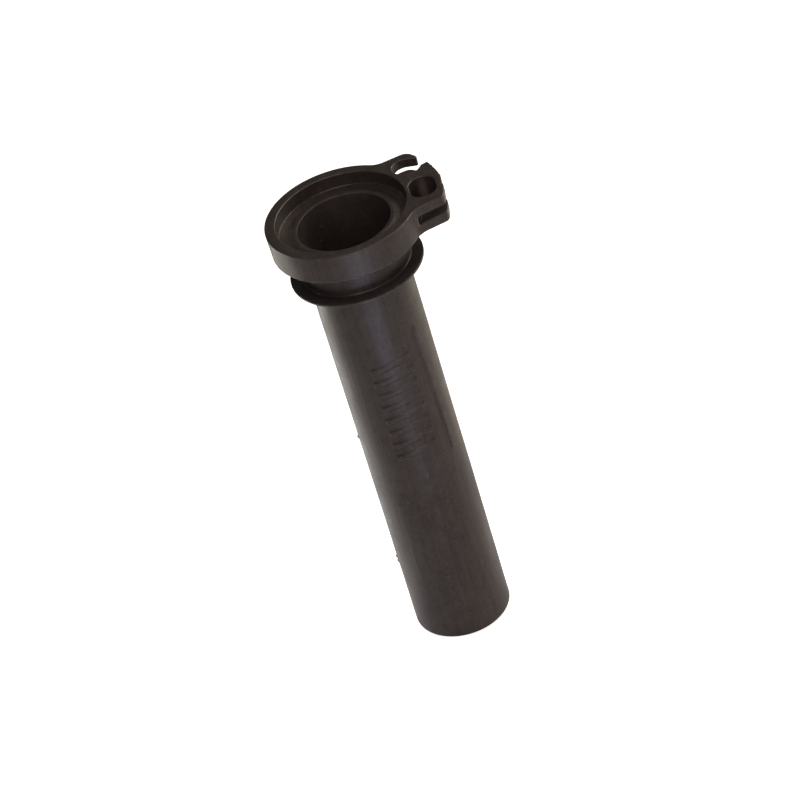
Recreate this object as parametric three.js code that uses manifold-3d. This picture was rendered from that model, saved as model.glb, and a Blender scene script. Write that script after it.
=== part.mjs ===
// Twist-grip throttle tube for a 22 mm handlebar: one injection-moulded part, built here as the
// slices of that moulding that do different jobs. Units are millimetres and +Z runs up the bore,
// from the closed outer end at z = 0 to the cable drum's open face. +X points at the cable pocket.
import * as THREE from "three";
import { mergeVertices } from "three/addons/utils/BufferGeometryUtils.js";
import Module from "manifold-3d";

// --- Driving dimensions -------------------------------------------------------------------------
const TURN_STEPS = 64; // facets round a full turn

const BORE_R = 11.3; // 22.6 mm bore on a 22.2 mm handlebar
const SLEEVE_R = 13.2; // outside of the sleeve that the rubber grip is pulled over
const SLEEVE_TOP = 117.5; // underside of the stop flange, where the grip ends
const END_WALL = 1.6; // closed outer end
const END_ROUND = 1.0; // rounding of the outer end's edge

const FLANGE_R = 17.65; // stop flange
const FLANGE_EDGE = 0.75; // its thickness at the rim
const FLANGE_TOP = 118.4; // its top rises a little towards the neck

const NECK_R = 14.2; // floor of the groove that the throttle housing runs in
const NECK_FILLET = 0.7; // rounding at both ends of the neck

const DRUM_R = 20.1; // cable drum
const DRUM_BOTTOM = 127.1;
const GROOVE_BOTTOM = 129.8; // cable groove between the drum's two cheeks
const GROOVE_TOP = 132.2;
const DRUM_TOP = 134.8;
const RECESS_R = 17.24; // open recess in the drum's face
const RECESS_FLOOR = 131.0;
const LIP_R = 13.2; // low lip round the mouth of the bore
const LIP_TOP = 131.5;
const MOUTH_R = 12.3; // the bore widens from the sleeve's top to here, as a lead-in

const EAR_R = 27.0; // outer radius of the cable ear and of the hook's tip
const POCKET_X = 21.7; // closed cable pocket, an obround along Y
const POCKET_R = 3.45;
const POCKET_MID_Y = -0.4;
const POCKET_HALF_SHIFT = 1.2;
const POCKET_FLOOR = 128.3;
const HOOK_POCKET = new THREE.Vector2(18.97, 11.2); // open pocket behind the hook
const HOOK_POCKET_R = 3.25;
const GROOVE_FROM = -29; // degrees round the drum that the cable groove runs between
const GROOVE_TO = 57;
const WEB_R = 25.7; // outer face of the web that joins the ear's cheeks between the pockets
const WEB_FROM = -3; // degrees
const WEB_TO = 22;

const rad = THREE.MathUtils.degToRad;
const HALF_TURN = Math.PI;
const boreAt = (z) =>
  BORE_R + ((MOUTH_R - BORE_R) * (z - SLEEVE_TOP)) / (LIP_TOP - SLEEVE_TOP);
const polar = (r, a) => new THREE.Vector2(r * Math.cos(a), r * Math.sin(a));

// --- Materials ----------------------------------------------------------------------------------
const moulded = (colour) =>
  new THREE.MeshStandardMaterial({ color: colour, roughness: 0.55, metalness: 0 });
const sleeveBlack = moulded(0x2e2b2b);
const drumBlack = moulded(0x24221f);

// --- Shape helpers ------------------------------------------------------------------------------
// Points of an arc in a profile, ends included.
function arcPoints(centreR, centreZ, radius, from, to, steps) {
  return Array.from({ length: steps + 1 }, (_, i) => {
    const a = from + ((to - from) * i) / steps;
    return [centreR + radius * Math.cos(a), centreZ + radius * Math.sin(a)];
  });
}

// A solid of revolution about Z from its [radius, z] profile.
function turned(profile) {
  const points = profile.map(([r, z]) => new THREE.Vector2(r, z));
  return new THREE.LatheGeometry(points, TURN_STEPS).rotateX(HALF_TURN / 2);
}

// A flat plate of an outline, between two heights.
function plate(shape, bottom, top) {
  return new THREE.ExtrudeGeometry(shape, {
    depth: top - bottom,
    bevelEnabled: false,
    curveSegments: 10,
  }).translate(0, 0, bottom);
}

// A round hole whose facets line up with those of the turned pieces.
function roundHole(radius) {
  const corners = Array.from({ length: TURN_STEPS }, (_, i) =>
    polar(radius, (2 * HALF_TURN * i) / TURN_STEPS),
  );
  return new THREE.Path(corners);
}

function node(name, geometry, material) {
  const mesh = new THREE.Mesh(geometry, material);
  mesh.name = name;
  return mesh;
}

// --- Booleans -----------------------------------------------------------------------------------
const wasm = await Module();
wasm.setup();

function solid(geometry) {
  const bare = geometry.clone();
  bare.deleteAttribute("normal");
  bare.deleteAttribute("uv");
  const merged = mergeVertices(bare, 1e-4);
  return new wasm.Manifold(
    new wasm.Mesh({
      numProp: 3,
      vertProperties: merged.attributes.position.array,
      triVerts: new Uint32Array(merged.index.array),
    }),
  );
}

function cut(geometry, tool) {
  const { vertProperties, triVerts } = solid(geometry).subtract(solid(tool)).getMesh();
  const result = new THREE.BufferGeometry();
  result.setAttribute("position", new THREE.BufferAttribute(vertProperties, 3));
  result.setIndex(new THREE.BufferAttribute(triVerts, 1));
  result.computeVertexNormals();
  return result;
}

// --- Outline of the drum's cheeks ---------------------------------------------------------------
// A round between a circle about the bore and a straight edge that leaves it outwards. The edge
// passes through `start` along `angle`, and `side` is +1 if the round lies left of it. Outside the
// circle the round fills the corner at the edge's foot; inside it, it rounds off the edge's end.
function roundToCircle(start, angle, side, circleR, radius, outside) {
  const along = polar(1, angle);
  const across = polar(side * radius, angle + HALF_TURN / 2);
  const reach = outside ? circleR + radius : circleR - radius;
  const base = start.clone().add(across);
  const b = base.dot(along);
  const t = -b + Math.sqrt(b * b - base.lengthSq() + reach * reach);
  const centre = base.clone().addScaledVector(along, t);
  return {
    centre,
    circleAngle: centre.angle(),
    onCircle: outside ? centre.angle() + HALF_TURN : centre.angle(),
    onEdge: angle - (side * HALF_TURN) / 2,
  };
}

// The cheeks' outer outline, anticlockwise from the hook round the drum to the ear.
function cheekOutline() {
  const EAR_EDGE = new THREE.Vector2(21.15, -8.75);
  const EAR_EDGE_ANGLE = rad(14);
  const EAR_BLEND = 6;
  const EAR_CORNER = 1.8;
  const EAR_TIP_ANGLE = rad(22.6);
  const GATE_FLAT_FROM = new THREE.Vector2(26.7, -1.5); // where the moulding's gate was trimmed
  const GATE_FLAT_TO = new THREE.Vector2(27.05, 2.7);
  const RAMP_SHOULDER = new THREE.Vector2(23.2, 9.7);
  const RAMP_FOOT_X = 21.9;
  const HOOK_EDGE = new THREE.Vector2(16.9, 16.75);
  const HOOK_EDGE_ANGLE = rad(10.8);
  const HOOK_BLEND = 5;
  const HOOK_CORNER = 3;
  const HOOK_TIP_ANGLE = rad(31.7);
  const HOOK_TIP_INNER = new THREE.Vector2(22.7, 13.5);

  const hookRoot = roundToCircle(HOOK_EDGE, HOOK_EDGE_ANGLE, 1, DRUM_R, HOOK_BLEND, true);
  const hookNose = roundToCircle(HOOK_EDGE, HOOK_EDGE_ANGLE, -1, EAR_R, HOOK_CORNER, false);
  const earRoot = roundToCircle(EAR_EDGE, EAR_EDGE_ANGLE, -1, DRUM_R, EAR_BLEND, true);
  const earNose = roundToCircle(EAR_EDGE, EAR_EDGE_ANGLE, 1, EAR_R, EAR_CORNER, false);
  const toTip = HOOK_TIP_INNER.clone().sub(HOOK_POCKET);
  const hookInsideEnd = toTip.angle() + Math.acos(HOOK_POCKET_R / toTip.length());

  const shape = new THREE.Shape();
  const arc = (c, r, from, to, clockwise) => shape.absarc(c.x, c.y, r, from, to, clockwise);
  const drumSteps = 44;
  for (let i = 0; i <= drumSteps; i += 1) {
    const sweep = earRoot.circleAngle - hookRoot.circleAngle;
    const p = polar(DRUM_R, hookRoot.circleAngle + (sweep * i) / drumSteps);
    if (i === 0) {
      shape.moveTo(p.x, p.y);
    } else {
      shape.lineTo(p.x, p.y);
    }
  }
  arc(earRoot.centre, EAR_BLEND, earRoot.onCircle, earRoot.onEdge, true);
  arc(earNose.centre, EAR_CORNER, earNose.onEdge, earNose.onCircle, false);
  shape.absarc(0, 0, EAR_R, earNose.circleAngle, rad(-4) + 2 * HALF_TURN, false);
  shape.lineTo(GATE_FLAT_FROM.x, GATE_FLAT_FROM.y);
  shape.lineTo(GATE_FLAT_TO.x, GATE_FLAT_TO.y);
  shape.absarc(0, 0, EAR_R, rad(7.5), EAR_TIP_ANGLE, false);
  shape.lineTo(RAMP_SHOULDER.x, RAMP_SHOULDER.y);
  shape.lineTo(RAMP_FOOT_X, HOOK_POCKET.y - HOOK_POCKET_R);
  arc(HOOK_POCKET, HOOK_POCKET_R, -HALF_TURN / 2, hookInsideEnd, true);
  shape.lineTo(HOOK_TIP_INNER.x, HOOK_TIP_INNER.y);
  shape.absarc(0, 0, EAR_R, HOOK_TIP_ANGLE, hookNose.circleAngle, false);
  arc(hookNose.centre, HOOK_CORNER, hookNose.onCircle, hookNose.onEdge, false);
  arc(hookRoot.centre, HOOK_BLEND, hookRoot.onEdge, hookRoot.onCircle, true);
  return shape;
}

// The closed cable pocket's obround.
function pocketOutline() {
  const path = new THREE.Shape();
  const far = POCKET_MID_Y + POCKET_HALF_SHIFT;
  const near = POCKET_MID_Y - POCKET_HALF_SHIFT;
  path.absarc(POCKET_X, far, POCKET_R, 0, HALF_TURN, false);
  path.absarc(POCKET_X, near, POCKET_R, HALF_TURN, 2 * HALF_TURN, false);
  return path;
}

// A block between two radii and two directions about the bore, from the groove's floor to its roof.
function grooveSector(innerR, outerR, from, to) {
  const shape = new THREE.Shape();
  shape.absarc(0, 0, outerR, rad(from), rad(to), false);
  shape.absarc(0, 0, innerR, rad(to), rad(from), true);
  return plate(shape, GROOVE_BOTTOM, GROOVE_TOP);
}

// --- The moulding's slices, from the outer end to the drum's face -------------------------------
// The disc that closes the outer end, with its rounded edge.
function endWall() {
  return turned([
    [0, 0],
    ...arcPoints(SLEEVE_R - END_ROUND, END_ROUND, END_ROUND, -HALF_TURN / 2, 0, 3),
    [SLEEVE_R, END_WALL],
    [0, END_WALL],
  ]);
}

// The sleeve that the rubber grip is pulled over.
function gripSleeve() {
  return turned([
    [BORE_R, END_WALL],
    [SLEEVE_R, END_WALL],
    [SLEEVE_R, SLEEVE_TOP],
    [BORE_R, SLEEVE_TOP],
    [BORE_R, END_WALL],
  ]);
}

// The thin flange that the rubber grip butts against.
function stopFlange() {
  const neckFoot = NECK_R + NECK_FILLET;
  return turned([
    [BORE_R, SLEEVE_TOP],
    [FLANGE_R, SLEEVE_TOP],
    [FLANGE_R, SLEEVE_TOP + FLANGE_EDGE],
    [neckFoot, FLANGE_TOP],
    [boreAt(FLANGE_TOP), FLANGE_TOP],
    [BORE_R, SLEEVE_TOP],
  ]);
}

// The neck between flange and drum, which the throttle housing's rib runs round.
function guideNeck() {
  const foot = NECK_R + NECK_FILLET;
  return turned([
    [boreAt(FLANGE_TOP), FLANGE_TOP],
    ...arcPoints(foot, FLANGE_TOP + NECK_FILLET, NECK_FILLET, -HALF_TURN / 2, -HALF_TURN, 4),
    ...arcPoints(foot, DRUM_BOTTOM - NECK_FILLET, NECK_FILLET, HALF_TURN, HALF_TURN / 2, 4),
    [boreAt(DRUM_BOTTOM), DRUM_BOTTOM],
    [boreAt(FLANGE_TOP), FLANGE_TOP],
  ]);
}

// The drum's lower cheek, with its half of the ear and of the hook, and the pocket's floor.
function lowerCheek() {
  const cheek = plate(cheekOutline(), DRUM_BOTTOM, GROOVE_BOTTOM);
  const bored = cut(
    cheek,
    turned([
      [0, SLEEVE_TOP],
      [BORE_R, SLEEVE_TOP],
      [MOUTH_R, LIP_TOP],
      [0, LIP_TOP],
    ]),
  );
  return cut(bored, plate(pocketOutline(), POCKET_FLOOR, GROOVE_BOTTOM + 1));
}

// The wall between the two cheeks: it is the groove's floor, and it backs both pockets.
function grooveCore() {
  const outline = cheekOutline();
  outline.holes.push(roundHole(RECESS_R));
  const blank = plate(outline, GROOVE_BOTTOM, GROOVE_TOP);
  const GROOVE_REACH = 30; // past the ear's end
  const groove = cut(
    grooveSector(DRUM_R, GROOVE_REACH, GROOVE_FROM, GROOVE_TO),
    grooveSector(DRUM_R - 1, WEB_R, WEB_FROM, WEB_TO),
  );
  const grooved = cut(blank, groove);
  return cut(grooved, plate(pocketOutline(), GROOVE_BOTTOM - 1, GROOVE_TOP + 1));
}

// The floor of the recess in the drum's face, with the low lip round the bore.
function recessFloor() {
  return turned([
    [boreAt(GROOVE_BOTTOM), GROOVE_BOTTOM],
    [RECESS_R, GROOVE_BOTTOM],
    [RECESS_R, RECESS_FLOOR],
    [LIP_R, RECESS_FLOOR],
    [LIP_R, LIP_TOP],
    [MOUTH_R, LIP_TOP],
    [boreAt(GROOVE_BOTTOM), GROOVE_BOTTOM],
  ]);
}

// The drum's upper cheek, round the recess, with the pocket's mouth.
function upperCheek() {
  const outline = cheekOutline();
  outline.holes.push(roundHole(RECESS_R));
  outline.holes.push(pocketOutline());
  return plate(outline, GROOVE_TOP, DRUM_TOP);
}

// --- The part -----------------------------------------------------------------------------------
const throttleTube = new THREE.Group();
throttleTube.name = "throttle_tube";
throttleTube.add(
  node("end_wall", endWall(), sleeveBlack),
  node("grip_sleeve", gripSleeve(), sleeveBlack),
  node("stop_flange", stopFlange(), sleeveBlack),
  node("guide_neck", guideNeck(), sleeveBlack),
  node("lower_cheek", lowerCheek(), drumBlack),
  node("groove_core", grooveCore(), drumBlack),
  node("recess_floor", recessFloor(), drumBlack),
  node("upper_cheek", upperCheek(), drumBlack),
);
export default throttleTube;
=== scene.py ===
import math

import bmesh
import bpy
from mathutils import Matrix, Vector, noise


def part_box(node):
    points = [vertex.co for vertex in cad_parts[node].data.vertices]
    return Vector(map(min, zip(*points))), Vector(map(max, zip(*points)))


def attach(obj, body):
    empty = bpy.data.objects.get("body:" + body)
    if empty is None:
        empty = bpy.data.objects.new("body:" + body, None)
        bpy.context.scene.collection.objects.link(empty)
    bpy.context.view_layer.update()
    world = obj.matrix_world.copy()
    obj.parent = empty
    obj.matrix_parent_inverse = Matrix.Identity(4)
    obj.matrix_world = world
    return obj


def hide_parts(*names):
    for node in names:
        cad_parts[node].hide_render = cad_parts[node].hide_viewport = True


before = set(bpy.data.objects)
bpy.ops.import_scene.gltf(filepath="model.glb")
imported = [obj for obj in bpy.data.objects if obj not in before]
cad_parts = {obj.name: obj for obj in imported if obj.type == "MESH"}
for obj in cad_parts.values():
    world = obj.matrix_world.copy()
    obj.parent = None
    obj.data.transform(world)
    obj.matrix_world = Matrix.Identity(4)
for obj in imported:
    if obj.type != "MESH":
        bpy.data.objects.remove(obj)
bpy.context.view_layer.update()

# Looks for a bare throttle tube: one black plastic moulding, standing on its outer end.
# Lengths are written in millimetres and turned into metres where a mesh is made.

MM = 0.001
FULL_TURN = 2 * math.pi


def low(node):
    """Lowest corner of a CAD node, in millimetres."""
    return [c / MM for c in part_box(node)[0]]


def high(node):
    """Highest corner of a CAD node, in millimetres."""
    return [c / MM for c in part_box(node)[1]]


# --- Sizes that the frame gives ------------------------------------------------------------------
SLEEVE_R = high("grip_sleeve")[0]
SLEEVE_TOP = high("grip_sleeve")[2]
END_WALL = high("end_wall")[2]
FLANGE_R = high("stop_flange")[0]
FLANGE_TOP = high("stop_flange")[2]
NECK_TOP = high("guide_neck")[2]
NECK_FOOT_R = high("guide_neck")[0]
DRUM_R = -low("lower_cheek")[0]
GROOVE_BOTTOM = high("lower_cheek")[2]
GROOVE_TOP = high("groove_core")[2]
LIP_TOP = high("recess_floor")[2]
RECESS_R = high("recess_floor")[0]
DRUM_TOP = high("upper_cheek")[2]

# --- Sizes of the moulding's details, as the CAD part has them -----------------------------------
BORE_R = 11.3
MOUTH_R = 12.3
NECK_R = 14.2
FLANGE_EDGE = 0.75
RECESS_FLOOR = 131.0
LIP_R = 13.2
EAR_R = 27.0
POCKET_X = 21.7
POCKET_R = 3.45
POCKET_MID_Y = -0.4
POCKET_HALF_SHIFT = 1.2
POCKET_FLOOR = 128.3
HOOK_POCKET = Vector((18.97, 11.2))
HOOK_POCKET_R = 3.25
WEB_R = 25.7
GROOVE_ANGLES = (-29, 57)  # degrees
WEB_ANGLES = (-3, 22)  # degrees


def bore_at(z):
    """Radius of the bore, which widens from the sleeve's top to its mouth."""
    return BORE_R + (MOUTH_R - BORE_R) * (z - SLEEVE_TOP) / (LIP_TOP - SLEEVE_TOP)


# --- Two-dimensional helpers ---------------------------------------------------------------------
def polar(r, angle):
    return Vector((r * math.cos(angle), r * math.sin(angle)))


def arc(centre, r, start, end, spacing=0.35):
    """Points of an arc, ends included, about `spacing` apart."""
    steps = max(2, math.ceil(abs(end - start) * r / spacing))
    return [centre + polar(r, start + (end - start) * i / steps) for i in range(steps + 1)]


def rounded(corners, steps=5):
    """A polyline of (x, y, radius) corners, with each corner rounded to its radius."""
    points = []
    count = len(corners)
    for i, (x, y, radius) in enumerate(corners):
        here = Vector((x, y))
        if radius == 0:
            points.append(here)
            continue
        to_last = (Vector(corners[i - 1][:2]) - here).normalized()
        to_next = (Vector(corners[(i + 1) % count][:2]) - here).normalized()
        half = to_last.angle(to_next) / 2
        start = here + to_last * (radius / math.tan(half))
        end = here + to_next * (radius / math.tan(half))
        centre = here + (to_last + to_next).normalized() * (radius / math.sin(half))
        first = start - centre
        sweep = first.angle_signed(end - centre)
        for step in range(steps + 1):
            turn = Matrix.Rotation(-sweep * step / steps, 2)
            points.append(centre + turn @ first)
    return points


def short_turn(start, end):
    """The turn that goes the short way round from one direction to another."""
    return (end - start + math.pi) % FULL_TURN - math.pi


def rows(start, end, spacing):
    """Evenly spaced values between two ends, both included."""
    steps = max(1, math.ceil(abs(end - start) / spacing))
    return [start + (end - start) * i / steps for i in range(steps + 1)]


# --- Mesh helpers --------------------------------------------------------------------------------
def in_scene(name, data):
    """A new object in the scene that holds a mesh, a lamp or a camera."""
    obj = bpy.data.objects.new(name, data)
    bpy.context.collection.objects.link(obj)
    return obj


def as_object(bm, name):
    """Turns a bmesh into an object in the bmesh's own units."""
    mesh = bpy.data.meshes.new(name)
    bm.to_mesh(mesh)
    bm.free()
    return in_scene(name, mesh)


def finished(bm, name, smooth_angle=math.radians(32)):
    """Turns a bmesh in millimetres into a smooth-shaded object in metres."""
    bmesh.ops.scale(bm, vec=(MM, MM, MM), verts=bm.verts)
    bmesh.ops.recalc_face_normals(bm, faces=bm.faces)
    obj = as_object(bm, name)
    obj.data.shade_smooth()
    obj.data.set_sharp_from_angle(angle=smooth_angle)
    return obj


def keep_flats_flat(obj):
    """Leans the shading of a rounded edge on the large flat faces beside it."""
    even = obj.modifiers.new("even_shading", "WEIGHTED_NORMAL")
    even.keep_sharp = True
    even.weight = 90


def even_angles(steps):
    return [FULL_TURN * i / steps for i in range(steps)]


def turned(profile, angles, push=None):
    """A closed bmesh turned about Z from a closed (r, z) profile. push(r, angle, z) moves the
    surface outwards where it is given."""
    bm = bmesh.new()
    rings = []
    for r, z in profile:
        if r < 1e-6:
            rings.append([bm.verts.new((0, 0, z))] * len(angles))
            continue
        ring = []
        for angle in angles:
            out = r + (push(r, angle, z) if push else 0)
            ring.append(bm.verts.new((out * math.cos(angle), out * math.sin(angle), z)))
        rings.append(ring)
    count = len(angles)
    for a, b in zip(rings, rings[1:] + rings[:1]):
        for i in range(count):
            j = (i + 1) % count
            corners = list(dict.fromkeys((a[i], a[j], b[j], b[i])))
            if len(corners) > 2:
                bm.faces.new(corners)
    return bm


def prism(outline, bottom, top, draft=1):
    """A closed bmesh: an outline pushed up from one height to another. A draft under 1 makes the
    bottom that much smaller than the top."""
    bm = bmesh.new()
    base = [bm.verts.new((x * draft, y * draft, bottom)) for x, y in outline]
    roof = [bm.verts.new((x, y, top)) for x, y in outline]
    bm.faces.new(base)
    bm.faces.new(roof)
    count = len(outline)
    for i in range(count):
        j = (i + 1) % count
        bm.faces.new((base[i], base[j], roof[j], roof[i]))
    bmesh.ops.recalc_face_normals(bm, faces=bm.faces)
    return bm


def carve(blank, tools):
    """Cuts each tool out of the blank, as modifiers that still need the tools."""
    for tool in tools:
        cutter = blank.modifiers.new("cut", "BOOLEAN")
        cutter.operation = "DIFFERENCE"
        cutter.solver = "EXACT"
        cutter.object = tool


def baked_bmesh(obj):
    """The object's mesh with its modifiers applied, as a bmesh."""
    bpy.context.view_layer.update()
    shown = obj.evaluated_get(bpy.context.evaluated_depsgraph_get())
    bm = bmesh.new()
    bm.from_mesh(shown.to_mesh())
    shown.to_mesh_clear()
    return bm


def drop(objects):
    for obj in objects:
        mesh = obj.data
        bpy.data.objects.remove(obj)
        bpy.data.meshes.remove(mesh)


# --- The drum's outline --------------------------------------------------------------------------
def round_to_circle(start, angle, side, circle_r, radius, outside):
    """A round between a circle about the bore and an edge that leaves it outwards. The edge passes
    through `start` along `angle`; side is +1 if the round lies left of it."""
    along = polar(1, angle)
    base = start + polar(side * radius, angle + math.pi / 2)
    reach = circle_r + radius if outside else circle_r - radius
    b = base.dot(along)
    centre = base + along * (math.sqrt(b * b - base.length_squared + reach * reach) - b)
    on_circle = math.atan2(centre.y, centre.x)
    return {
        "centre": centre,
        "circle_angle": on_circle,
        "on_circle": on_circle + math.pi if outside else on_circle,
        "on_edge": angle - side * math.pi / 2,
    }


def short_arc(centre, r, start, end):
    """The arc that goes the short way round from one direction to another."""
    return arc(centre, r, start, start + short_turn(start, end))


def cheek_outline():
    """The drum's outer outline, anticlockwise from the hook's root."""
    ear_edge, ear_angle = Vector((21.15, -8.75)), math.radians(14)
    hook_edge, hook_angle = Vector((16.9, 16.75)), math.radians(10.8)
    ear_blend, hook_blend = 6, 5
    ear_corner, hook_corner = 1.8, 3
    apex_angle, hook_tip_angle = math.radians(22.6), math.radians(31.7)
    tip_inner = Vector((22.7, 13.5))

    hook_root = round_to_circle(hook_edge, hook_angle, 1, DRUM_R, hook_blend, True)
    hook_nose = round_to_circle(hook_edge, hook_angle, -1, EAR_R, hook_corner, False)
    ear_root = round_to_circle(ear_edge, ear_angle, -1, DRUM_R, ear_blend, True)
    ear_nose = round_to_circle(ear_edge, ear_angle, 1, EAR_R, ear_corner, False)
    to_tip = tip_inner - HOOK_POCKET
    inside_end = math.atan2(to_tip.y, to_tip.x) + math.acos(HOOK_POCKET_R / to_tip.length)
    tip_outer = polar(EAR_R, hook_tip_angle)

    axis = Vector((0, 0))
    drum_end = ear_root["circle_angle"] + FULL_TURN
    points = arc(axis, DRUM_R, hook_root["circle_angle"], drum_end)
    points += short_arc(ear_root["centre"], ear_blend, ear_root["on_circle"], ear_root["on_edge"])
    points += short_arc(ear_nose["centre"], ear_corner, ear_nose["on_edge"], ear_nose["on_circle"])
    points += arc(axis, EAR_R, ear_nose["circle_angle"], math.radians(-4))
    points += [Vector((26.7, -1.5)), Vector((27.05, 2.7))]  # where the gate was trimmed off
    points += [
        p + torn_edge(p) for p in arc(axis, EAR_R, math.radians(7.5), apex_angle, 0.25)
    ]
    points += [Vector((23.2, 9.7)), Vector((21.9, HOOK_POCKET.y - HOOK_POCKET_R))]  # into the hook
    inside = arc(HOOK_POCKET, HOOK_POCKET_R, -math.pi / 2, inside_end - FULL_TURN)
    outside = arc(axis, EAR_R, hook_tip_angle + math.radians(1.1), hook_nose["circle_angle"])
    points += inside
    points += blunted(inside[-1], tip_inner, tip_outer, 0.4)
    points += blunted(tip_inner, tip_outer, outside[0], 0.34)
    points += outside
    points += short_arc(
        hook_nose["centre"], hook_corner, hook_nose["on_circle"], hook_nose["on_edge"]
    )
    points += short_arc(
        hook_root["centre"], hook_blend, hook_root["on_edge"], hook_root["on_circle"]
    )
    return without_repeats(points)


def blunted(before, corner, after, size):
    """A small curve in place of an outline's corner."""
    start = corner + (before - corner).normalized() * size
    end = corner + (after - corner).normalized() * size
    shares = (0, 0.25, 0.5, 0.75, 1)
    return [start * (1 - t) ** 2 + corner * 2 * t * (1 - t) + end * t**2 for t in shares]


noise.seed_set(1)  # torn_edge's noise follows the clock unless it is seeded


def torn_edge(p, tightness=1.7, depth=0.16):
    """A small uneven shift that leaves the ear's outer edge a little ragged."""
    return Vector(noise.noise_vector(Vector((p.x * tightness, p.y * tightness, 3)))[:2]) * depth


def without_repeats(points, gap=0.02):
    """The closed outline with points that fall on their neighbour left out."""
    return [p for p, last in zip(points, points[-1:] + points[:-1]) if (p - last).length > gap]


# --- Pieces --------------------------------------------------------------------------------------
RELIEF = 0.4  # height of the moulded ribs on the sleeve
RELIEF_RAMP = 0.34  # width of their steep ends
RIB_HALF_WIDTH = 5.6  # half a rib's size round the sleeve
RIB_SECTION = ((0, 0), (0.38, 1), (1.6, 1), (2.0, 0))  # distance down from its top, share of height
RIB_SLANT = 0.16  # how far a rib climbs for each millimetre round the sleeve
RIB_ANGLE = math.radians(-88)  # where the ladder of ribs is centred
RIB_TOPS = [94.5 - 4.1 * i for i in range(8)]
LONG_RIB_ANGLE = math.radians(-44)
LONG_RIB_HALF = (0.6, 20.5)  # half its width and half its length
LONG_RIB_LEAN = 0.03  # how far it moves round the sleeve for each millimetre down
BOSS = (math.radians(-84), 55.0)  # a lone oval boss below the ladder: direction, height
BOSS_HALF = (1.1, 1.7)  # half its size round the sleeve and along it
BOSS_RELIEF = 0.2
BURRS = ((-176, 66.3), (-177, 22.4), (-175, 24.3))  # specks of flash: degrees, height
BURR_R = 0.8
BURR_RELIEF = 0.4
UNEVENNESS = 0.035


def smooth_step(x):
    x = min(max(x, 0), 1)
    return x * x * (3 - 2 * x)


def edge_fade(outside):
    """1 inside an edge and 0 past it, with a steep side between."""
    return smooth_step(0.5 - outside / RELIEF_RAMP)


def along(section, x):
    """Height of a section at x, straight between its corners and 0 beyond its ends."""
    for (x0, y0), (x1, y1) in zip(section, section[1:]):
        if x0 <= x < x1:
            return y0 + (y1 - y0) * (x - x0) / (x1 - x0)
    return 0


def round_the_sleeve(angle, middle):
    """Distance along the sleeve's skin from one direction to another."""
    return short_turn(middle, angle) * SLEEVE_R


def sleeve_relief(r, angle, z):
    """How far the sleeve's skin stands out: a ladder of plain slanting ribs, a long rib beside
    it, a boss below it, a few burrs, and the unevenness that moulded plastic cools with."""
    if r < SLEEVE_R - 0.01:
        return 0
    wander = noise.noise(Vector((math.cos(angle) * 1.3, math.sin(angle) * 1.3, z / 11)))
    out = UNEVENNESS * wander
    s = round_the_sleeve(angle, RIB_ANGLE)
    for top in RIB_TOPS:
        down = top + RIB_SLANT * s - z
        out += RELIEF * along(RIB_SECTION, down) * edge_fade(abs(s) - RIB_HALF_WIDTH)
    side = round_the_sleeve(angle, LONG_RIB_ANGLE)
    middle = (RIB_TOPS[0] + RIB_TOPS[-1]) / 2
    beside = abs(side - LONG_RIB_LEAN * (middle - z)) - LONG_RIB_HALF[0]
    out += RELIEF * edge_fade(beside) * edge_fade(abs(z - middle) - LONG_RIB_HALF[1])
    across_boss = round_the_sleeve(angle, BOSS[0]) / BOSS_HALF[0]
    up_boss = (z - BOSS[1]) / BOSS_HALF[1]
    out += BOSS_RELIEF * smooth_step(1.5 - math.hypot(across_boss, up_boss))
    for degrees, height in BURRS:
        away = math.hypot(round_the_sleeve(angle, math.radians(degrees)), z - height)
        out += BURR_RELIEF * smooth_step(1 - away / BURR_R)
    return out


END_ROUND = 0.9  # rounding of the outer end's edge
SLEEVE_ROWS_FROM = 1.5
# Spacing of the sleeve's rows of faces up to each height: close together where there is relief.
SLEEVE_ROWS = ((20, 1.0), (26, 0.2), (52, 1.0), (97, 0.16), (SLEEVE_TOP - 0.3, 1.0))


def make_sleeve():
    """The sleeve and its closed outer end, with the moulded relief on its skin. Its faces are
    narrower on the side that has the ribs."""
    fine_from, fine_to = math.radians(-122), math.radians(-30)
    fine_steps = 132
    coarse_steps = 120
    angles = [fine_from + (fine_to - fine_from) * i / fine_steps for i in range(fine_steps)]
    rest = FULL_TURN - (fine_to - fine_from)
    angles += [fine_to + rest * i / coarse_steps for i in range(coarse_steps)]

    heights = [SLEEVE_ROWS_FROM]
    for top, spacing in SLEEVE_ROWS:
        heights += rows(heights[-1], top, spacing)[1:]
    wall = [(SLEEVE_R, z) for z in heights + [SLEEVE_TOP]]
    edge_corners = [(0, 0, 0), (SLEEVE_R, 0, END_ROUND), (SLEEVE_R, 10 * END_ROUND, 0)]
    outer_edge = [tuple(p) for p in rounded(edge_corners)[1:-1]]
    profile = [(0, 0), (6, 0), (9.5, 0)] + outer_edge + wall + [(BORE_R, SLEEVE_TOP)]
    profile += [(BORE_R, z) for z in rows(SLEEVE_TOP - 2, END_WALL + 1, 4)]
    profile += [(BORE_R - 0.3, END_WALL + 0.3), (BORE_R - 1, END_WALL), (5, END_WALL), (0, END_WALL)]
    return finished(turned(profile, angles, sleeve_relief), "grip_sleeve_skin")


FLANGE_ROUND = 0.2


def make_flange():
    """The thin stop flange, slightly coned on top."""
    profile = rounded(
        [
            (BORE_R, SLEEVE_TOP, 0),
            (FLANGE_R, SLEEVE_TOP, FLANGE_ROUND),
            (FLANGE_R, SLEEVE_TOP + FLANGE_EDGE, FLANGE_ROUND),
            (NECK_FOOT_R, FLANGE_TOP, 0),
            (bore_at(FLANGE_TOP), FLANGE_TOP, 0),
        ]
    )
    return finished(turned([tuple(p) for p in profile], even_angles(192)), "stop_flange_rim")


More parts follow.
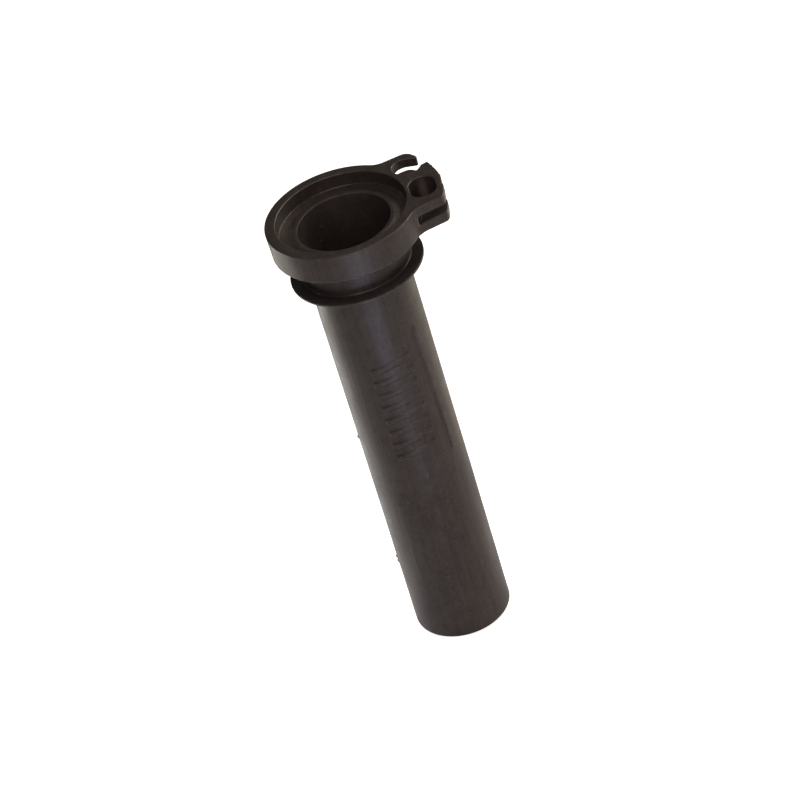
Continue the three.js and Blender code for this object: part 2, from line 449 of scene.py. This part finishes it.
PIPS = ((119, 125.2), (126, 121.5))  # two specks on the bore's wall: degrees, height
PIP_R = 0.65
PIP_RELIEF = 0.3
NICK = (math.radians(-86), 121.8)  # a short upright nick in the neck: direction, height
NICK_HALF = (0.3, 0.9)  # half its width and half its length
NICK_DEPTH = 0.16


def neck_marks(r, angle, z):
    """The small marks on the neck's outside and on the bore's wall inside it."""
    if r > NECK_R - 0.5:
        across = short_turn(NICK[0], angle) * NECK_R
        away = math.hypot(across / NICK_HALF[0], (z - NICK[1]) / NICK_HALF[1])
        return -NICK_DEPTH * smooth_step(1 - away)
    out = 0
    for degrees, height in PIPS:
        across = short_turn(math.radians(degrees), angle) * r
        out -= PIP_RELIEF * smooth_step(1 - math.hypot(across, z - height) / PIP_R)
    return out


def make_neck():
    """The waisted neck, with a wide fillet at each end."""
    fillet = NECK_FOOT_R - NECK_R
    foot = arc(Vector((NECK_FOOT_R, FLANGE_TOP + fillet)), fillet, -math.pi / 2, -math.pi, 0.12)
    head = arc(Vector((NECK_FOOT_R, NECK_TOP - fillet)), fillet, math.pi, math.pi / 2, 0.12)
    waist = [(NECK_R, z) for z in rows(FLANGE_TOP + fillet, NECK_TOP - fillet, 0.3)[1:-1]]
    profile = [(bore_at(FLANGE_TOP), FLANGE_TOP)] + [tuple(p) for p in foot] + waist
    profile += [tuple(p) for p in head]
    profile += [(bore_at(z), z) for z in rows(NECK_TOP, FLANGE_TOP, 0.25)[:-1]]
    return finished(turned(profile, even_angles(384), neck_marks), "guide_neck_skin")


LINER_R = 13.0  # hidden joint between the recess's floor and the drum below it


def make_recess_floor():
    """The recess's floor, the low lip round the bore's mouth and the bore's wall below it."""
    corner = 0.12
    profile = rounded(
        [
            (bore_at(NECK_TOP), NECK_TOP, 0),
            (LINER_R, NECK_TOP, 0),
            (LINER_R, GROOVE_BOTTOM, 0),
            (RECESS_R, GROOVE_BOTTOM, 0),
            (RECESS_R, RECESS_FLOOR + corner, 0),
            (RECESS_R - corner, RECESS_FLOOR, corner / 2),
            (LIP_R + 1.7, RECESS_FLOOR, 1.2),
            (LIP_R, LIP_TOP, 0.7),
            (MOUTH_R, LIP_TOP, 0.14),
        ]
    )
    skin = turned([tuple(p) for p in profile], even_angles(384))
    return finished(skin, "recess_floor_skin")


def sector(inner_r, outer_r, degrees_from, degrees_to):
    """Outline of a piece of a ring about the bore."""
    start, end = math.radians(degrees_from), math.radians(degrees_to)
    axis = Vector((0, 0))
    return arc(axis, outer_r, start, end) + arc(axis, inner_r, end, start)


def pocket_outline():
    middle = Vector((POCKET_X, POCKET_MID_Y))
    shift = Vector((0, POCKET_HALF_SHIFT))
    far_end = arc(middle + shift, POCKET_R, 0, math.pi)
    return far_end + arc(middle - shift, POCKET_R, math.pi, FULL_TURN)


def in_pocket(p):
    off_y = max(abs(p.y - POCKET_MID_Y) - POCKET_HALF_SHIFT, 0)
    return math.hypot(p.x - POCKET_X, off_y) < POCKET_R + 0.05


DRAFT = 0.993  # the size of the drum's bottom over its top, so that it leaves its mould
EDGE_ROUND = 0.26
SHARP = math.radians(40)
CLOSE = 0.01  # heights nearer than this are the same


def to_round(edge):
    """Whether an edge of the drum gets a small round: it is sharp and level, and not down in the
    closed pocket."""
    if not edge.is_manifold or not edge.is_convex or edge.calc_face_angle() < SHARP:
        return False
    a, b = (v.co for v in edge.verts)
    level = abs(a.z - b.z) < CLOSE
    below_mouth = max(a.z, b.z) < DRUM_TOP - CLOSE
    return level and not (below_mouth and in_pocket((a + b) / 2))


def make_drum():
    """The cable drum: its wall, both cheeks with the ear and the hook, and the closed pocket."""
    past = 3  # how far a cutter runs on outside the blank
    blank = as_object(prism(cheek_outline(), NECK_TOP, DRUM_TOP, DRAFT), "drum_blank")
    groove = as_object(
        prism(sector(DRUM_R, EAR_R + past, *GROOVE_ANGLES), GROOVE_BOTTOM, GROOVE_TOP), "groove"
    )
    web = as_object(
        prism(sector(DRUM_R - 1, WEB_R, *WEB_ANGLES), GROOVE_BOTTOM - 1, GROOVE_TOP + 1), "web"
    )
    carve(groove, [web])
    pocket = as_object(prism(pocket_outline(), POCKET_FLOOR, DRUM_TOP + past), "pocket")
    hollow_profile = [
        (0, NECK_TOP - past),
        (LINER_R, NECK_TOP - past),
        (LINER_R, GROOVE_BOTTOM),
        (RECESS_R, GROOVE_BOTTOM),
        (RECESS_R, DRUM_TOP + past),
        (0, DRUM_TOP + past),
    ]
    hollow = as_object(turned(hollow_profile, even_angles(192)), "hollow")
    carve(blank, [groove, pocket, hollow])
    bm = baked_bmesh(blank)
    drop([blank, groove, web, pocket, hollow])
    bmesh.ops.remove_doubles(bm, verts=bm.verts, dist=0.03)
    bmesh.ops.bevel(
        bm,
        geom=[e for e in bm.edges if to_round(e)],
        offset=EDGE_ROUND,
        segments=3,
        profile=0.5,
        affect="EDGES",
        clamp_overlap=False,
    )
    bmesh.ops.triangulate(bm, faces=[f for f in bm.faces if len(f.verts) > 4])
    drum = finished(bm, "cable_drum", math.radians(50))
    keep_flats_flat(drum)
    return drum


# --- Materials -----------------------------------------------------------------------------------
SLEEVE_BLACK = (0.033, 0.028, 0.0265)
DRUM_BLACK = (0.033, 0.028, 0.0255)
ROUGHNESS = 0.4
POCKET_PAINTED_HIGHLIGHT = (21.9, 4.3, 129.5)  # a painted highlight: a paler patch painted on the closed pocket's far wall
POCKET_PAINTED_HIGHLIGHT_R = 1.6
POCKET_PAINTED_HIGHLIGHT_COLOUR = (0.1, 0.09, 0.087, 1)
GATE_SCAR = (25.2, 8.0, 134)  # the torn plastic where the gate was broken off the ear
GATE_SCAR_R = 4
SPOT_STRETCH = 4  # how much longer such a spot is than it is wide
EDGE_REACH = 0.35  # how near an edge the plastic is painted paler, as wear and as a painted highlight
BUMP_HEIGHT = 0.06
SCUFF_PALENESS = 3  # times the plastic's own colour
# How much paler the edges are painted, partly as wear and partly as a painted highlight.
EDGE_WEAR_AND_HIGHLIGHT_PALENESS = 9
EDGE_GLOSS = 1.2


def plastic(name, colour, roughness, edge_wear_and_highlight=0):
    """Semi-matt black moulded plastic: faint mottling, fine grain, scuffs, edges painted paler as
    wear and as a painted highlight, and a painted highlight in the closed pocket.
    """
    material = bpy.data.materials.new(name)
    material.use_nodes = True
    nodes, links = material.node_tree.nodes, material.node_tree.links
    shader = nodes["Principled BSDF"]
    place = nodes.new("ShaderNodeTexCoord").outputs["Object"]

    def noise_at(scale, detail, rough=0.5, stretch=None, turn=(0, 0, 0)):
        source = place
        if stretch:
            mapping = nodes.new("ShaderNodeMapping")
            mapping.inputs["Scale"].default_value = stretch
            mapping.inputs["Rotation"].default_value = turn
            links.new(place, mapping.inputs["Vector"])
            source = mapping.outputs["Vector"]
        texture = nodes.new("ShaderNodeTexNoise")
        texture.inputs["Scale"].default_value = scale
        texture.inputs["Detail"].default_value = detail
        texture.inputs["Roughness"].default_value = rough
        links.new(source, texture.inputs["Vector"])
        return texture.outputs["Fac"]

    def ramp(value, from_low, from_high, to_low, to_high):
        node = nodes.new("ShaderNodeMapRange")
        node.inputs["From Min"].default_value = from_low
        node.inputs["From Max"].default_value = from_high
        node.inputs["To Min"].default_value = to_low
        node.inputs["To Max"].default_value = to_high
        links.new(value, node.inputs["Value"])
        return node.outputs["Result"]

    def math_of(operation, a, b):
        node = nodes.new("ShaderNodeMath")
        node.operation = operation
        for socket, value in zip(node.inputs, (a, b)):
            if isinstance(value, (int, float)):
                socket.default_value = value
            else:
                links.new(value, socket)
        return node.outputs["Value"]

    def mixed(factor, a, b):
        """A mix of two colours. Sockets 6, 7 and 2 are the node's colour ones, which share their
        names with those for numbers and vectors."""
        node = nodes.new("ShaderNodeMix")
        node.data_type = "RGBA"
        links.new(factor, node.inputs["Factor"])
        for socket, value in ((node.inputs[6], a), (node.inputs[7], b)):
            if isinstance(value, tuple):
                socket.default_value = value
            else:
                links.new(value, socket)
        return node.outputs[2]

    def spot(middle, size):
        """1 near a point of the part and 0 past `size` millimetres from it, or past SPOT_STRETCH
        times that above or below it."""
        scale = (1, 1, 1 / SPOT_STRETCH)
        flatten = nodes.new("ShaderNodeMapping")
        flatten.inputs["Location"].default_value = [-c * f * MM for c, f in zip(middle, scale)]
        flatten.inputs["Scale"].default_value = scale
        links.new(place, flatten.inputs["Vector"])
        away = nodes.new("ShaderNodeVectorMath")
        away.operation = "LENGTH"
        links.new(flatten.outputs["Vector"], away.inputs[0])
        return ramp(away.outputs["Value"], 0.3 * size * MM, size * MM, 1, 0)

    blotches = noise_at(330, detail=4, rough=0.65)
    clouds = noise_at(60, detail=2)
    grain = noise_at(2100, detail=3, rough=0.65)
    streaks = noise_at(900, detail=3, rough=0.6, stretch=(1, 1, 0.06))
    scuffs = noise_at(420, detail=5, rough=0.75, stretch=(1, 0.15, 0.5), turn=(0.4, 0.9, 0.3))
    scratches = noise_at(700, detail=1, rough=0.3, stretch=(0.04, 1, 0.3), turn=(0.9, 0.2, 1.1))
    rounder = nodes.new("ShaderNodeBevel")
    rounder.samples = 4
    rounder.inputs["Radius"].default_value = EDGE_REACH * MM
    turned_away = nodes.new("ShaderNodeVectorMath")
    turned_away.operation = "DOT_PRODUCT"
    links.new(rounder.outputs["Normal"], turned_away.inputs[0])
    links.new(nodes.new("ShaderNodeNewGeometry").outputs["Normal"], turned_away.inputs[1])
    edge_nearness = turned_away.outputs["Value"]
    pocket_highlight_mask = spot(POCKET_PAINTED_HIGHLIGHT, POCKET_PAINTED_HIGHLIGHT_R)

    def scaled(factor):
        return tuple(factor * c for c in colour) + (1,)

    speckle = math_of("ADD", math_of("MULTIPLY", grain, 0.6), math_of("MULTIPLY", blotches, 0.4))
    mottled = mixed(ramp(speckle, 0.4, 0.6, 0, 1), scaled(0.82), scaled(1.2))
    scuffed = mixed(ramp(scuffs, 0.6, 0.75, 0, 0.5), mottled, scaled(SCUFF_PALENESS))
    # Edges are painted paler: partly edge wear, partly a painted highlight along them.
    edge_wear_and_highlight_mask = ramp(edge_nearness, 0.98, 0.85, 0, edge_wear_and_highlight)
    edged = mixed(edge_wear_and_highlight_mask, scuffed, scaled(EDGE_WEAR_AND_HIGHLIGHT_PALENESS))
    # A painted highlight: a patch of the closed pocket's far wall is painted paler.
    with_pocket_highlight = mixed(pocket_highlight_mask, edged, POCKET_PAINTED_HIGHLIGHT_COLOUR)
    links.new(with_pocket_highlight, shader.inputs["Base Color"])

    rough = ramp(blotches, 0.3, 0.7, roughness - 0.06, roughness + 0.06)
    rough = math_of("ADD", rough, ramp(clouds, 0.4, 0.6, -0.04, 0.04))
    rough = math_of("ADD", rough, ramp(scuffs, 0.55, 0.75, 0, 0.12))
    links.new(rough, shader.inputs["Roughness"])

    gloss = ramp(streaks, 0.35, 0.65, 0.43, 0.57)
    gloss = math_of("ADD", gloss, ramp(clouds, 0.4, 0.6, -0.05, 0.05))
    gloss = math_of("ADD", gloss, ramp(blotches, 0.35, 0.65, -0.035, 0.035))
    gloss = math_of("ADD", gloss, ramp(grain, 0.38, 0.62, -0.04, 0.04))
    torn_grain = math_of("MULTIPLY", spot(GATE_SCAR, GATE_SCAR_R), ramp(grain, 0.42, 0.58, -0.2, 0.5))
    gloss = math_of("ADD", gloss, torn_grain)
    gloss = math_of("ADD", gloss, math_of("MULTIPLY", edge_wear_and_highlight_mask, EDGE_GLOSS))
    links.new(gloss, shader.inputs["Specular IOR Level"])

    height = math_of("ADD", math_of("MULTIPLY", grain, 0.6), math_of("MULTIPLY", blotches, 0.6))
    height = math_of("ADD", height, math_of("MULTIPLY", streaks, 0.25))
    height = math_of("SUBTRACT", height, ramp(scratches, 0.68, 0.74, 0, 0.5))
    bump = nodes.new("ShaderNodeBump")
    bump.inputs["Strength"].default_value = 1
    bump.inputs["Distance"].default_value = BUMP_HEIGHT * MM
    links.new(height, bump.inputs["Height"])
    links.new(bump.outputs["Normal"], shader.inputs["Normal"])
    shader.inputs["IOR"].default_value = 1.5
    shader.inputs["Specular Tint"].default_value = (1, 1, 1, 1)
    return material


def floor_material():
    material = bpy.data.materials.new("pale_floor")
    material.use_nodes = True
    shader = material.node_tree.nodes["Principled BSDF"]
    shader.inputs["Base Color"].default_value = (0.93, 0.93, 0.93, 1)
    shader.inputs["Roughness"].default_value = 0.9
    shader.inputs["Specular IOR Level"].default_value = 0.1
    shader.inputs["Emission Color"].default_value = (1, 1, 1, 1)
    seen = material.node_tree.nodes.new("ShaderNodeLightPath").outputs["Is Camera Ray"]
    lift = material.node_tree.nodes.new("ShaderNodeMath")
    lift.operation = "MULTIPLY"
    lift.inputs[1].default_value = 0.8
    material.node_tree.links.new(seen, lift.inputs[0])
    material.node_tree.links.new(lift.outputs[0], shader.inputs["Emission Strength"])
    return material


# --- Stage ---------------------------------------------------------------------------------------
def make_floor():
    bm = bmesh.new()
    bmesh.ops.create_grid(bm, x_segments=1, y_segments=1, size=6)
    floor = as_object(bm, "floor")
    floor.data.materials.append(floor_material())


def make_camera():
    """A long lens from above the front, turned on its own axis as the part leans in the view."""
    aim = Vector((0.17, 0, 72.87))
    distance = 975
    azimuth, elevation, roll = (math.radians(a) for a in (-90.3, 35.84, -17.33))
    back = Vector((*(polar(1, azimuth) * math.cos(elevation)), math.sin(elevation)))
    level_right = Vector((0, 0, 1)).cross(back).normalized()
    right = Matrix.Rotation(roll, 3, back) @ level_right
    turn = Matrix((right, back.cross(right), back)).transposed().to_4x4()
    data = bpy.data.cameras.new("camera")
    data.sensor_width = 36
    data.lens = 166.57
    camera = in_scene("camera", data)
    camera.matrix_world = Matrix.Translation((aim + back * distance) * MM) @ turn
    bpy.context.scene.camera = camera


def aimed_lamp(name, kind, place, target, power, colour):
    """A lamp in one place that shines at another, both in metres. Returns its settings."""
    data = bpy.data.lights.new(name, kind)
    data.energy = power
    data.color = colour
    lamp = in_scene(name, data)
    lamp.location = place
    lamp.rotation_euler = (Vector(place) - Vector(target)).to_track_quat("Z", "Y").to_euler()
    return data


def area_light(name, place, target, size, power, colour):
    data = aimed_lamp(name, "AREA", place, target, power, colour)
    data.shape = "RECTANGLE"
    data.size, data.size_y = size


def floor_spot(name, place, floor_point, degrees, power, colour=(1, 1, 1)):
    """A soft-edged pool of light on the floor, which the part's glossy sides pick up."""
    data = aimed_lamp(name, "SPOT", place, (*floor_point, 0), power, colour)
    data.spot_size = math.radians(degrees)
    data.spot_blend = 1
    data.shadow_soft_size = 0.02


def make_lights():
    world = bpy.data.worlds.new("studio")
    world.use_nodes = True
    bpy.context.scene.world = world
    nodes, links = world.node_tree.nodes, world.node_tree.links
    fill = nodes["Background"]
    fill.inputs["Color"].default_value = (1, 1, 1, 1)
    fill.inputs["Strength"].default_value = 0.07
    white = nodes.new("ShaderNodeBackground")
    white.inputs["Strength"].default_value = 1
    choice = nodes.new("ShaderNodeMixShader")
    links.new(nodes.new("ShaderNodeLightPath").outputs["Is Camera Ray"], choice.inputs["Fac"])
    links.new(fill.outputs["Background"], choice.inputs[1])
    links.new(white.outputs["Background"], choice.inputs[2])
    links.new(choice.outputs["Shader"], nodes["World Output"].inputs["Surface"])

    area_light("front_panel", (-0.1, -1.0, 0.55), (0, 0, 0.1), (0.5, 0.35), 1.9, (1, 0.74, 0.77))
    area_light("front_high", (0, -0.5, 1.0), (0, 0, 0.1), (0.5, 0.5), 3.3, (1, 0.82, 0.76))
    area_light("back_right", (0.45, 0.25, 0.45), (0.2, 0.1, 0), (0.4, 0.4), 2.5, (1, 0.86, 0.72))
    floor_spot("pool_front", (0.005, -0.6, 0.5), (0.005, -0.2), 9.5, 128, (0.7, 0.74, 1))
    floor_spot("pool_left", (-0.35, 0.35, 0.55), (-0.075, 0.055), 14, 25)
    floor_spot("pool_foot", (0.35, 0.2, 0.55), (0.035, 0.018), 5, 9)
    floor_spot("pool_back_left", (-0.35, 0.3, 1.1), (-0.165, 0.12), 10, 122, (1, 1, 0.88))
    floor_spot("pool_back_right", (0.35, 0.3, 1.1), (0.13, 0.1), 10, 20, (1, 1, 0.78))


# --- Putting it together -------------------------------------------------------------------------
def dress(piece, material, slot, *nodes):
    piece.data.materials.append(material)
    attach(piece, "root")
    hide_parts(*nodes)


bpy.context.scene.view_settings.view_transform = "Standard"
make_camera()
make_floor()
make_lights()

sleeve_plastic = plastic("sleeve_plastic", SLEEVE_BLACK, ROUGHNESS)
drum_plastic = plastic("drum_plastic", DRUM_BLACK, ROUGHNESS)
# The drum's plastic, its edges painted paler as wear and as a painted highlight.
worn_and_highlit_plastic = plastic("worn_and_highlit_plastic", DRUM_BLACK, ROUGHNESS, edge_wear_and_highlight=0.8)
dress(make_sleeve(), sleeve_plastic, "sleeve_plastic", "grip_sleeve", "end_wall")
dress(make_flange(), sleeve_plastic, "sleeve_plastic", "stop_flange")
dress(make_neck(), drum_plastic, "drum_plastic", "guide_neck")
dress(make_drum(), worn_and_highlit_plastic, "drum_plastic", "lower_cheek", "groove_core", "upper_cheek")
dress(make_recess_floor(), drum_plastic, "drum_plastic", "recess_floor")
